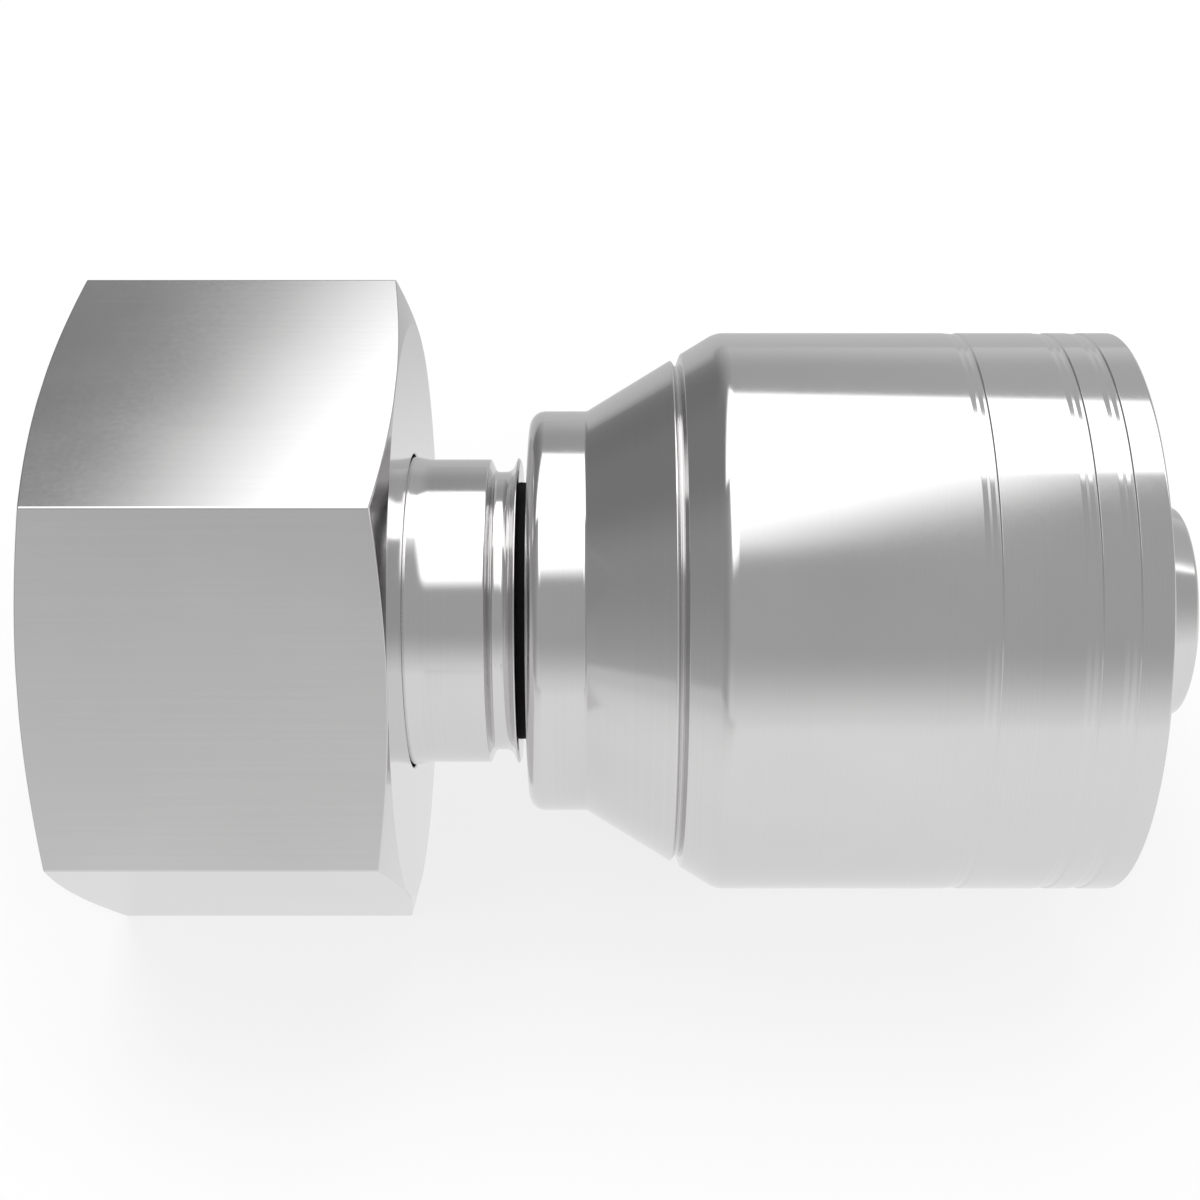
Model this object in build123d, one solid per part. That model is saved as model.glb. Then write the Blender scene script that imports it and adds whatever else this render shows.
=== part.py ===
from build123d import *
from math import cos, radians, tan
import os

# A crimp-on hydraulic hose fitting with a swivel union nut, lying on one flat of its nut.
# It is four pieces: a one-piece stem, the union nut that turns on the stem's neck, the
# crimp shell that is staked to the stem, and the O-ring on the stem's sealing cone.
#
# The axis runs along X. The union end points to -X and the hose end to +X.
# Stations along the axis are measured from the front face of the crimp shell, and the
# finished pieces are then moved so that the origin lies on the floor under the middle.
# All sizes are in millimetres and all angles in degrees.

# Tube that the union end joins, with a metric 24 degree cone
tube_diameter = 25.0

# Union nut, with its thread as much larger than the tube as the standard has it
nut_wall = 5.0
nut_length = 25.9
nut_chamfer_margin = 0.1
nut_chamfer_angle = 15.0
nut_bore_length = 4.5
nut_to_shell = 9.3
thread_to_tube = 11.0
thread_pitch = 2.0
thread_depth_per_pitch = 0.54125
thread_entry_margin = 0.3
seat_angle = 45.0

# Sealing cone and shoulder at the front of the stem
cone_angle = 24.0
cone_to_tube = 3.4
cone_length = 11.5
cone_tip_rounding = 0.5
shoulder_height = 1.1
shoulder_length = 2.2
shoulder_rounding = 0.3
nut_play = 0.3
nose_bore_step = 0.95
nose_bore_length = 22.0
drill_point_angle = 118.0
bore_chamfer = 0.5

# O-ring on the cone
ring_section = 2.5
ring_setback = 8.2
ring_proud = 0.35
ring_side_clearance = 0.4
ring_seat_clearance = 0.02

# Neck between the nut and the shell: the land that the nut turns on and the flare behind it,
# the relief groove and the staking ridge
neck_under_tube = 0.6
neck_clearance = 0.45
neck_end_rounding = 0.15
land_clearance = 0.25
land_overhang = 0.2
flare_length = 1.1
flare_rounding = 5.0
relief_depth = 1.0
relief_width = 1.7
relief_wall_width = 0.42
relief_front_rounding = 0.4
relief_rear_rounding = 0.8
ridge_height = 0.1
ridge_crest_width = 0.1
ridge_front_width = 0.47
ridge_rear_width = 0.13
ridge_rear_drop = 0.25
ridge_to_shell = 0.75

# Groove that the shell is staked into, and the collar that holds the shell on
lock_groove_depth = 1.85
lock_collar_height = 1.45
lock_collar_length = 2.4
staking_clearance = 0.05

# Hose nipple, for a hose with a 19 mm bore
hose_bore = 19.0
nipple_oversize = 0.15
nipple_wall = 2.35
nipple_taper_length = 2.0
barb_depth = 0.65
barb_count = 7
front_land_length = 1.6
tail_land_length = 7.4
tail_overhang = 5.75
tail_taper_length = 3.4
tail_taper_depth = 1.35
tail_tip_rounding = 0.4
tail_bore_chamfer = 0.4

# Crimp shell, outside
shell_diameter = 44.5
shell_length = 45.9
shell_neck_wall = 3.25
shell_neck_length = 4.5
shell_front_rounding = 1.2
shell_cone_angle = 31.3
shell_inner_corner_rounding = 0.5
shell_cone_rounding = 2.3
shell_rim_rounding = 0.2

# Turned marks on the shell: a sharp groove on the cone, and three shallow ones set back from
# the mouth. The shares are those of a mark's width that its front and rear flanks take.
mark_rounding = 0.15
cone_mark_width = 0.78
cone_mark_depth = 0.7
cone_mark_place = 0.692
cone_mark_flanks = (0.42, 0.42)
barrel_mark_width = 1.2
barrel_mark_depth = 0.1
barrel_mark_setbacks = (12.65, 5.65, 2.95)
barrel_mark_flanks = (0.3, 0.08)

# Crimp shell, inside
shell_wall = 4.75
lip_thickness = 4.0
cavity_clearance = 1.0
cavity_length = 3.0
cavity_cone_length = 8.0
tooth_height = 0.8
tooth_crest_width = 1.4
tooth_flank_width = 0.8
tooth_count = 5
mouth_chamfer_width = 1.6
mouth_chamfer_height = 1.0

# How far a cutting shape runs past the faces that it cuts
cut_over = 1.0

# Radii at the union end, which follow the tube
neck_radius = (tube_diameter - neck_under_tube) / 2
nut_bore_radius = neck_radius + neck_clearance
land_radius = nut_bore_radius - land_clearance
thread_radius = (tube_diameter + thread_to_tube) / 2
thread_minor_radius = thread_radius - thread_depth_per_pitch * thread_pitch
nut_apothem = thread_radius + nut_wall
cone_base_radius = (tube_diameter + cone_to_tube) / 2
shoulder_radius = cone_base_radius + shoulder_height
lock_groove_radius = neck_radius - lock_groove_depth
lock_collar_radius = lock_groove_radius + lock_collar_height

# Radii of the nipple and the bore, which follow the hose
nipple_radius = hose_bore / 2 + nipple_oversize
bore_radius = nipple_radius - nipple_wall
nose_bore_radius = bore_radius + nose_bore_step

# Radii of the shell
shell_radius = shell_diameter / 2
lip_radius = lock_groove_radius + staking_clearance
cavity_radius = lock_collar_radius + cavity_clearance
shell_neck_radius = cavity_radius + shell_neck_wall
socket_radius = shell_radius - shell_wall
tooth_radius = socket_radius - tooth_height

# Stations of the nut, which the stem's shoulder follows
nut_rear = -nut_to_shell
nut_front = nut_rear - nut_length
seat_start = nut_rear - nut_bore_length
seat_slope = tan(radians(seat_angle))

# Stations of the sealing cone, from its shoulder to its tip
shoulder_seat_start = seat_start - nut_play
shoulder_foot = shoulder_seat_start + land_clearance / seat_slope
shoulder_top = shoulder_seat_start - (shoulder_radius - nut_bore_radius) / seat_slope
cone_start = shoulder_top - shoulder_length
nose_tip = cone_start - cone_length
ring_station = cone_start - ring_setback

# Stations of the hose end
lock_collar_rear = lip_thickness + lock_collar_length
nipple_start = lock_collar_rear + nipple_taper_length
tail_tip = shell_length + tail_overhang

# Stations of the shell's cone
shell_slope = tan(radians(shell_cone_angle))
shell_cone_length = (shell_radius - shell_neck_radius) / shell_slope
shell_cone_end = shell_neck_length + shell_cone_length

# Where the fitting lies: its axis is one apothem of the nut above the floor
axis_height = nut_apothem
middle_station = (nut_front + tail_tip) / 2


def cone_radius(station):
    """Radius of the sealing cone at a station along the axis."""
    return cone_base_radius - (cone_start - station) * tan(radians(cone_angle / 2))


def ring_groove_radius():
    """Radius of the O-ring groove's floor, from how far the ring stands above the cone."""
    return cone_radius(ring_station) + ring_proud - ring_section - ring_seat_clearance


def turned(outline):
    """Solid turned about the axis from corners given as station, radius and rounding."""
    corners = [(station, radius) for station, radius, rounding in outline]
    roundings = [rounding for station, radius, rounding in outline]
    profile = make_face(FilletPolyline(*corners, radius=roundings, close=True))
    return revolve(profile, Axis.X)


def placed(solid):
    """A finished piece moved from the axis of its stations to where it lies."""
    return Pos(-middle_station, 0, axis_height) * solid


def sealing_cone_corners():
    """Outside of the stem from the tip of its cone to the foot of its shoulder."""
    half_width = ring_section / 2 + ring_side_clearance
    groove_front = ring_station - half_width
    groove_rear = ring_station + half_width
    return [
        (nose_tip, nose_bore_radius + bore_chamfer, 0),
        (nose_tip, cone_radius(nose_tip), cone_tip_rounding),
        (groove_front, cone_radius(groove_front), 0),
        (groove_front, ring_groove_radius(), 0),
        (groove_rear, ring_groove_radius(), 0),
        (groove_rear, cone_radius(groove_rear), 0),
        (cone_start, cone_radius(cone_start), 0),
        (cone_start, shoulder_radius, shoulder_rounding),
        (shoulder_top, shoulder_radius, shoulder_rounding),
        (shoulder_foot, land_radius, 0),
    ]


def neck_corners():
    """Outside of the stem from the nut's land to the collar that holds the shell."""
    land_end = nut_rear + land_overhang
    ridge_rear = -ridge_to_shell
    crest_rear = ridge_rear - ridge_rear_width
    crest_front = crest_rear - ridge_crest_width
    relief_rear = crest_front - ridge_front_width
    relief_front = relief_rear - relief_width + relief_wall_width
    relief_radius = neck_radius - relief_depth
    ridge_radius = neck_radius + ridge_height
    return [
        (land_end, land_radius, 0),
        (land_end + flare_length, neck_radius, flare_rounding),
        (relief_front - relief_wall_width, neck_radius, neck_end_rounding),
        (relief_front, relief_radius, relief_front_rounding),
        (relief_rear, relief_radius, relief_rear_rounding),
        (crest_front, ridge_radius, 0),
        (crest_rear, ridge_radius, 0),
        (ridge_rear, ridge_radius - ridge_rear_drop, 0),
        (ridge_rear, lock_groove_radius, 0),
        (lip_thickness, lock_groove_radius, 0),
        (lip_thickness, lock_collar_radius, 0),
        (lock_collar_rear, lock_collar_radius, 0),
        (nipple_start, nipple_radius, 0),
    ]


def barb_corners():
    """Saw-tooth barbs on the nipple, each steep towards the nut and easy towards the tail."""
    barbs_start = nipple_start + front_land_length
    barbs_end = tail_tip - tail_taper_length - tail_land_length
    pitch = (barbs_end - barbs_start) / barb_count
    corners = [(barbs_start, nipple_radius, 0)]
    for number in range(barb_count):
        steep_face = barbs_start + (number + 1) * pitch
        corners.append((steep_face, nipple_radius - barb_depth, 0))
        corners.append((steep_face, nipple_radius, 0))
    return corners


def tail_corners():
    """Lead-in taper at the tail, where the hose is pushed on."""
    return [
        (tail_tip - tail_taper_length, nipple_radius, 0),
        (tail_tip, nipple_radius - tail_taper_depth, tail_tip_rounding),
        (tail_tip, bore_radius + tail_bore_chamfer, 0),
    ]


def bore_corners():
    """Through-bore, from the tail to the wider bore that is drilled in from the nose."""
    drill_end = nose_tip + nose_bore_length
    point_length = (nose_bore_radius - bore_radius) / tan(radians(drill_point_angle / 2))
    return [
        (tail_tip - tail_bore_chamfer, bore_radius, 0),
        (drill_end + point_length, bore_radius, 0),
        (drill_end, nose_bore_radius, 0),
        (nose_tip + bore_chamfer, nose_bore_radius, 0),
    ]


def stem():
    """One-piece stem: sealing cone, shoulder, neck, staking grooves and hose nipple."""
    outside = sealing_cone_corners() + neck_corners() + barb_corners() + tail_corners()
    return turned(outside + bore_corners())


def nut_hexagon():
    """Hexagonal bar with a flat underneath, both ends turned to a shallow cone."""
    section = RegularPolygon(nut_apothem, 6, major_radius=False)
    bar = extrude(Plane.YZ.offset(nut_front) * section, nut_length)
    ring_radius = nut_apothem + nut_chamfer_margin
    reach = nut_apothem / cos(radians(30)) + cut_over
    fall = (reach - ring_radius) * tan(radians(nut_chamfer_angle))
    turned_ends = turned([
        (nut_front, 0, 0),
        (nut_front, ring_radius, 0),
        (nut_front + fall, reach, 0),
        (nut_rear - fall, reach, 0),
        (nut_rear, ring_radius, 0),
        (nut_rear, 0, 0),
    ])
    return bar & turned_ends


def nut_hollow():
    """Inside of the nut: bore over the neck, seat for the shoulder, thread and its entry."""
    entry_radius = thread_radius + thread_entry_margin
    entry_end = nut_front + entry_radius - thread_minor_radius
    seat_end = seat_start - (thread_minor_radius - nut_bore_radius) / seat_slope
    return turned([
        (nut_rear + cut_over, 0, 0),
        (nut_rear + cut_over, nut_bore_radius, 0),
        (seat_start, nut_bore_radius, 0),
        (seat_end, thread_minor_radius, 0),
        (entry_end, thread_minor_radius, 0),
        (nut_front, entry_radius, 0),
        (nut_front - cut_over, entry_radius, 0),
        (nut_front - cut_over, 0, 0),
    ])


def union_nut():
    """Swivel union nut, bored to the inner diameter of its thread."""
    return nut_hexagon() - nut_hollow()


def o_ring():
    """O-ring seated in the groove of the sealing cone."""
    centre_radius = ring_groove_radius() + ring_seat_clearance + ring_section / 2
    return revolve(Pos(ring_station, centre_radius) * Circle(ring_section / 2), Axis.X)


def mark_corners(station, width, depth, flanks, radius_at):
    """Corners of a turned mark in a surface whose radius radius_at gives."""
    front = station - width / 2
    rear = station + width / 2
    floor_front = front + width * flanks[0]
    floor_rear = rear - width * flanks[1]
    return [
        (front, radius_at(front), mark_rounding),
        (floor_front, radius_at(floor_front) - depth, 0),
        (floor_rear, radius_at(floor_rear) - depth, 0),
        (rear, radius_at(rear), mark_rounding),
    ]


def shell_cone_radius(station):
    """Radius of the shell's outer cone at a station along the axis."""
    return shell_radius - (shell_cone_end - station) * shell_slope


def shell_barrel_radius(station):
    """Radius of the shell's barrel, the same at every station along the axis."""
    return shell_radius


def shell_outside_corners():
    """Outside of the shell: short neck, cone and barrel, with the marks on both."""
    cone_mark = shell_neck_length + cone_mark_place * shell_cone_length
    corners = [
        (0, shell_neck_radius, shell_front_rounding),
        (shell_neck_length, shell_neck_radius, shell_inner_corner_rounding),
    ]
    corners += mark_corners(
        cone_mark, cone_mark_width, cone_mark_depth, cone_mark_flanks, shell_cone_radius
    )
    corners.append((shell_cone_end, shell_radius, shell_cone_rounding))
    for setback in barrel_mark_setbacks:
        corners += mark_corners(
            shell_length - setback,
            barrel_mark_width,
            barrel_mark_depth,
            barrel_mark_flanks,
            shell_barrel_radius,
        )
    corners.append((shell_length, shell_radius, shell_rim_rounding))
    return corners


def tooth_corners(centre):
    """One tooth inside the shell, listed from the mouth towards the lip."""
    crest = tooth_crest_width / 2
    foot = crest + tooth_flank_width
    return [
        (centre + foot, socket_radius, 0),
        (centre + crest, tooth_radius, 0),
        (centre - crest, tooth_radius, 0),
        (centre - foot, socket_radius, 0),
    ]


def shell_inside_corners():
    """Inside of the shell, from its mouth over the teeth to the lip on the stem."""
    cavity_end = lip_thickness + cavity_length
    socket_start = cavity_end + cavity_cone_length
    socket_end = shell_length - mouth_chamfer_width
    tooth_pitch = (socket_end - socket_start) / tooth_count
    corners = [
        (shell_length, socket_radius + mouth_chamfer_height, 0),
        (socket_end, socket_radius, 0),
    ]
    for number in range(tooth_count):
        corners += tooth_corners(socket_end - (number + 0.5) * tooth_pitch)
    corners += [
        (socket_start, socket_radius, 0),
        (cavity_end, cavity_radius, 0),
        (lip_thickness, cavity_radius, 0),
        (lip_thickness, lip_radius, 0),
        (0, lip_radius, 0),
    ]
    return corners


def crimp_shell():
    """Crimp shell as delivered, staked to the stem at its front and open for the hose."""
    return turned(shell_outside_corners() + shell_inside_corners())


os.makedirs("parts", exist_ok=True)
export_step(placed(stem()), "parts/stem.step")
export_step(placed(union_nut()), "parts/union_nut.step")
export_step(placed(crimp_shell()), "parts/crimp_shell.step")
export_step(placed(o_ring()), "parts/o_ring.step")
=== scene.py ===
"""Dressed model of a crimp-on hose fitting with a swivel union nut.

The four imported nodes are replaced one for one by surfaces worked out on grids: the turned
stem, the union nut with its thread, the crimp shell and the O-ring. Each keeps its place on
the fitting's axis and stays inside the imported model's box. Stations along the axis are
measured from the front face of the crimp shell, towards the hose. Sizes in the classes are in
millimetres and become metres where a mesh is written.
"""
import logging
import math
from collections.abc import Mapping, Sequence
from dataclasses import dataclass
from enum import Enum, IntEnum

import bpy
import numpy as np
from mathutils import Matrix, Vector


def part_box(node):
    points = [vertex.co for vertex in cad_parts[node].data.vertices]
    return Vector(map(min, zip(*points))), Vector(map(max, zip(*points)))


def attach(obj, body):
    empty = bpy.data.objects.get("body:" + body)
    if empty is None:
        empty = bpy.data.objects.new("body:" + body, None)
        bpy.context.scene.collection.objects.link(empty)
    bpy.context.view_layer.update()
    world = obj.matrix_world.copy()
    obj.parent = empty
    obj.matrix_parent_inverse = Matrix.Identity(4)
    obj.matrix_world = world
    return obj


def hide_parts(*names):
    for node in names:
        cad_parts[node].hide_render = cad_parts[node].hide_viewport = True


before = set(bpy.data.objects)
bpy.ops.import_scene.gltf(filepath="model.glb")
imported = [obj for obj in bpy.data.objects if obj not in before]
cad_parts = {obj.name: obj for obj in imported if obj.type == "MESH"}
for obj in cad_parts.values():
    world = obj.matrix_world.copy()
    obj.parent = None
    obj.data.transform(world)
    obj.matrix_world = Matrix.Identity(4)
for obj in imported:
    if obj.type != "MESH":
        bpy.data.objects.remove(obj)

Triple = tuple[float, float, float]
Node = bpy.types.Node
Socket = bpy.types.NodeSocket

LOG = logging.getLogger("hose_fitting")
MM = 0.001
MICROMETRE = 1e-6

# Roundings of edges from sharp to soft, in millimetres
CRISP = 0.05
EDGE_BREAK = 0.07
BLUNT = 0.1
FINE = 0.15
SOFT = 0.2
EASY = 0.3
ROUND = 0.5

# How far beside an arc its supporting point stands, in millimetres
SUPPORT = 0.03

# Shares of a corner's shorter side that its arc and its supporting point may take at most
ARC_SHARE = 0.45
SUPPORT_SHARE = 0.05

# Columns round the axis
TURNED_COLUMNS = 224
SEAL_COLUMNS = 192

# Half width of a metric thread's groove at the hole, and width of its flank, in pitches
GROOVE_HALF = 0.375
GROOVE_FLANK = 0.3125

# How near a chamfer's two supporting rows stand to its ends, as a share of its width
BETWEEN = 0.08

WHITE = (1, 1, 1, 1)


# Where the fitting lies


@dataclass(frozen=True)
class Seat:
    """Place of the fitting's axis in the frame, in metres.

    Attributes:
        front_x: Where the front face of the crimp shell stands along X.
        height: How high the axis lies above the floor.
    """

    front_x: float
    height: float

    @classmethod
    def from_nodes(cls) -> "Seat":
        """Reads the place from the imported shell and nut."""
        shell_low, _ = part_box("crimp_shell")
        nut_low, nut_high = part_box("union_nut")
        return cls(float(shell_low[0]), float(nut_low[2] + nut_high[2]) / 2)


# Turned outlines and the surfaces made from them


@dataclass(frozen=True)
class Corner:
    """One corner of a turned outline.

    Attributes:
        station: Distance along the axis.
        radius: Distance from the axis.
        rounding: Radius of the arc that replaces the corner.
        finish: Material slot of the stretch that starts at this corner.
    """

    station: float
    radius: float
    rounding: float = EDGE_BREAK
    finish: int = 0


@dataclass(frozen=True)
class Section:
    """Closed section that is carried round the axis.

    Attributes:
        station: Distances along the axis, one row for each point of the section.
        radius: Distances from the axis, in the same layout.
        finish: Material slot of the stretch that starts at each point.
    """

    station: np.ndarray
    radius: np.ndarray
    finish: np.ndarray


def rounded_outline(corners: Sequence[Corner], steps: int = 5) -> Section:
    """Closed outline with an arc at each corner.

    An arc leaves the arriving side at rounding times tan(turn / 2) before the corner, or
    nearer where a side is short. A point at the angle a along it lies radius times sin(a)
    ahead and radius times (1 - cos(a)) to the side that the outline turns to. One more point
    stands close to each end of an arc, so that the shading of the straight sides stays flat.

    Args:
        corners: The outline's corners, in order, with the last joined to the first.
        steps: Number of stretches in each arc.

    Returns:
        The section, with one column.
    """
    points = np.array([(c.station, c.radius) for c in corners])
    rounding = np.array([c.rounding for c in corners])
    finish = np.array([c.finish for c in corners])
    arriving = points - np.roll(points, 1, axis=0)
    leaving = np.roll(points, -1, axis=0) - points
    arriving_length = np.linalg.norm(arriving, axis=1)
    leaving_length = np.linalg.norm(leaving, axis=1)
    ahead = arriving / arriving_length[:, None]
    onward = leaving / leaving_length[:, None]
    cross = ahead[:, 0] * onward[:, 1] - ahead[:, 1] * onward[:, 0]
    turn = np.arctan2(cross, (ahead * onward).sum(axis=1))
    half_tangent = np.tan(np.abs(turn) / 2)
    shorter = np.minimum(arriving_length, leaving_length)
    reach = np.minimum(rounding * half_tangent, ARC_SHARE * shorter)
    arc_radius = reach / half_tangent
    beyond = np.minimum(SUPPORT, SUPPORT_SHARE * shorter)

    angle = np.abs(turn)[:, None] * np.linspace(0, 1, steps + 1)
    side = np.stack((-ahead[:, 1], ahead[:, 0]), axis=1) * np.sign(turn)[:, None]
    along = (arc_radius[:, None] * np.sin(angle))[..., None] * ahead[:, None, :]
    across = (arc_radius[:, None] * (1 - np.cos(angle)))[..., None] * side[:, None, :]
    start = points - ahead * reach[:, None]
    arcs = start[:, None, :] + along + across
    before = (start - ahead * beyond[:, None])[:, None, :]
    after = (points + onward * (reach + beyond)[:, None])[:, None, :]
    path = np.concatenate((before, arcs, after), axis=1).reshape(-1, 2)
    slots = np.repeat(finish[:, None], steps + 3, axis=1)
    slots[:, 0] = np.roll(finish, 1)
    return Section(path[:, :1], path[:, 1:], slots.reshape(-1))


def ring_surface(name: str, section: Section, angles: np.ndarray, seat: Seat) -> bpy.types.Object:
    """Closed surface of a section carried round the axis.

    A point at the station s, the radius r and the angle a lies at
    (s, r cos(a), r sin(a)) from the middle of the shell's front face.

    Args:
        name: Name of the new object.
        section: The section, with one column for all angles or one for each.
        angles: Angles of the columns, rising by the right-hand rule about +X.
        seat: Place of the fitting's axis.

    Returns:
        The new object, smooth and closed, with its faces outwards.
    """
    shape = (section.station.shape[0], angles.size)
    station = np.broadcast_to(section.station, shape)
    radius = np.broadcast_to(section.radius, shape)
    places = np.stack(
        (
            station * MM + seat.front_x,
            radius * np.cos(angles) * MM,
            radius * np.sin(angles) * MM + seat.height,
        ),
        axis=-1,
    ).reshape(-1, 3)
    index = np.arange(station.size).reshape(shape)
    beside = np.roll(index, -1, axis=1)
    below = np.roll(index, -1, axis=0)
    opposite = np.roll(beside, -1, axis=0)
    quads = np.stack((index, beside, opposite, below), axis=-1).reshape(-1, 4)
    centred = places - places.mean(axis=0)
    a, b, c, d = (centred[quads[:, k]] for k in range(4))
    volume = (a * np.cross(b, c)).sum() + (a * np.cross(c, d)).sum()
    if volume < 0:
        quads = quads[:, ::-1]
    slots = np.repeat(section.finish[:, None], angles.size, axis=1).reshape(-1)

    mesh = bpy.data.meshes.new(name)
    mesh.vertices.add(len(places))
    mesh.vertices.foreach_set("co", places.reshape(-1))
    mesh.loops.add(quads.size)
    mesh.loops.foreach_set("vertex_index", quads.reshape(-1))
    mesh.polygons.add(len(quads))
    mesh.polygons.foreach_set("loop_start", np.arange(0, quads.size, 4))
    mesh.polygons.foreach_set("material_index", slots)
    mesh.update(calc_edges=True)
    mesh.validate()
    mesh.shade_smooth()
    piece = bpy.data.objects.new(name, mesh)
    bpy.context.collection.objects.link(piece)
    return piece


def even_angles(count: int) -> np.ndarray:
    """Angles of evenly spaced columns round the axis."""
    return np.linspace(0, math.tau, count, endpoint=False)


# Finishes


class Lay(Enum):
    """Which way the fine marks of a finish run."""

    TURNED = "round the axis"
    DRAWN = "along the axis"
    CLOUDED = "no direction"


class Course(Enum):
    """How a ramp runs between its two ends."""

    EVEN = "LINEAR"
    EASED = "SMOOTHSTEP"


@dataclass(frozen=True)
class Ramp:
    """How one value follows another.

    Attributes:
        low: Value that gives to_low, as all beyond it do.
        high: Value that gives to_high, as all beyond it do.
        to_low: Result at low.
        to_high: Result at high.
        course: How the result runs between the two ends.
    """

    low: float
    high: float
    to_low: float = 0.0
    to_high: float = 1.0
    course: Course = Course.EASED


class NodeBook:
    """Adds nodes to one node tree, with their inputs joined or filled."""

    def __init__(self, tree: bpy.types.NodeTree, output: str) -> None:
        """Empties the tree and gives it an output node of the kind named."""
        self.tree = tree
        tree.nodes.clear()
        self.output = self.add(output)

    def add(
        self, kind: str, inputs: Mapping[int | str, object] | None = None, **settings: object
    ) -> Node:
        """New node with some of its inputs and settings changed.

        Args:
            kind: The node's type name.
            inputs: Sockets or plain values for its inputs, by number or name.
            settings: Names and values of the node's own settings.

        Returns:
            The new node.
        """
        node = self.tree.nodes.new(kind)
        for key, value in settings.items():
            setattr(node, key, value)
        for key, value in (inputs or {}).items():
            if isinstance(value, Socket):
                self.tree.links.new(value, node.inputs[key])
            else:
                node.inputs[key].default_value = value
        return node

    def end(self, shader: Node) -> None:
        """Joins a shader node to the tree's output."""
        self.tree.links.new(shader.outputs[0], self.output.inputs[0])

    def math(self, operation: str, *values: Socket | float) -> Socket:
        """Result of a Math node for sockets or numbers."""
        return self.add("ShaderNodeMath", dict(enumerate(values)), operation=operation).outputs[0]

    def vector(self, operation: str, *values: object) -> Node:
        """Vector Math node with sockets or plain vectors in its inputs."""
        return self.add("ShaderNodeVectorMath", dict(enumerate(values)), operation=operation)

    def parts(self, place: Socket) -> Sequence[Socket]:
        """The three parts of a place or direction."""
        return self.add("ShaderNodeSeparateXYZ", {0: place}).outputs

    def follow(self, value: Socket, ramp: Ramp) -> Socket:
        """Result of a ramp for the value of a socket."""
        inputs = dict(enumerate((value, ramp.low, ramp.high, ramp.to_low, ramp.to_high)))
        node = self.add("ShaderNodeMapRange", inputs, interpolation_type=ramp.course.value, clamp=True)
        return node.outputs[0]

    def weigh(self, first: Socket, second: Socket, share: float) -> Socket:
        """Sum of two values, of which the first has the share and the second the rest."""
        rest = self.math("MULTIPLY", second, round(1 - share, 6))
        return self.math("ADD", self.math("MULTIPLY", first, share), rest)

    def between(self, share: Socket, first: Socket, second: Socket | float) -> Socket:
        """Value that is the first one where the share is 0, and the second where it is 1."""
        node = self.add("ShaderNodeMix", {0: share, 2: first, 3: second}, data_type="FLOAT")
        return node.outputs[0]

    def choose(self, share: Socket | float, first: Node, second: Node) -> Node:
        """Shader that is the first one where the share is 0, and the second where it is 1."""
        inputs = {0: share, 1: first.outputs[0], 2: second.outputs[0]}
        return self.add("ShaderNodeMixShader", inputs)

    def white_light(self, kind: str, level: Socket | float) -> Node:
        """Shader that gives white light, of the kind for a surface or for the world."""
        return self.add(kind, {0: WHITE, 1: level})

    def finish_by_ray(self, plain: Node, for_metal: Node, for_camera: Node) -> None:
        """Ends the tree with a shader that depends on what meets it.

        Args:
            plain: Shader node for all other rays, such as those that light the piece.
            for_metal: Shader node for what metal and glass show.
            for_camera: Shader node for what the camera sees straight.
        """
        ray = self.add("ShaderNodeLightPath").outputs
        mirrored = self.math("MAXIMUM", ray["Is Glossy Ray"], ray["Is Transmission Ray"])
        indirect = self.choose(mirrored, plain, for_metal)
        self.end(self.choose(ray["Is Camera Ray"], indirect, for_camera))

    def from_axis(self, seat: Seat) -> Socket:
        """Place on the piece, measured from a point on the fitting's axis."""
        place = self.add("ShaderNodeTexCoord").outputs["Object"]
        return self.vector("SUBTRACT", place, (0, 0, seat.height)).outputs[0]

    def bump(self, height: Socket, depth: float) -> Socket:
        """Surface direction over fine marks, with their depth in thousandths of a millimetre."""
        inputs = {"Distance": depth * MICROMETRE, "Height": height}
        return self.add("ShaderNodeBump", inputs).outputs[0]

    def noise(self, place: Socket, scale: float, detail: float) -> Socket:
        """Value of a noise texture at a place."""
        inputs = {"Vector": place, "Scale": scale, "Detail": detail}
        return self.add("ShaderNodeTexNoise", inputs).outputs[0]

    def blend(self, share: Socket, first: Triple, second: Triple) -> Socket:
        """Colour between two colours."""
        inputs = {0: share, 6: (*first, 1), 7: (*second, 1)}
        return self.add("ShaderNodeMix", inputs, data_type="RGBA").outputs[2]


def new_material(name: str) -> tuple[bpy.types.Material, NodeBook]:
    """Material with nothing but an output in its tree, and the tree's node book."""
    material = bpy.data.materials.new(name)
    material.use_nodes = True
    return material, NodeBook(material.node_tree, "ShaderNodeOutputMaterial")


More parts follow.
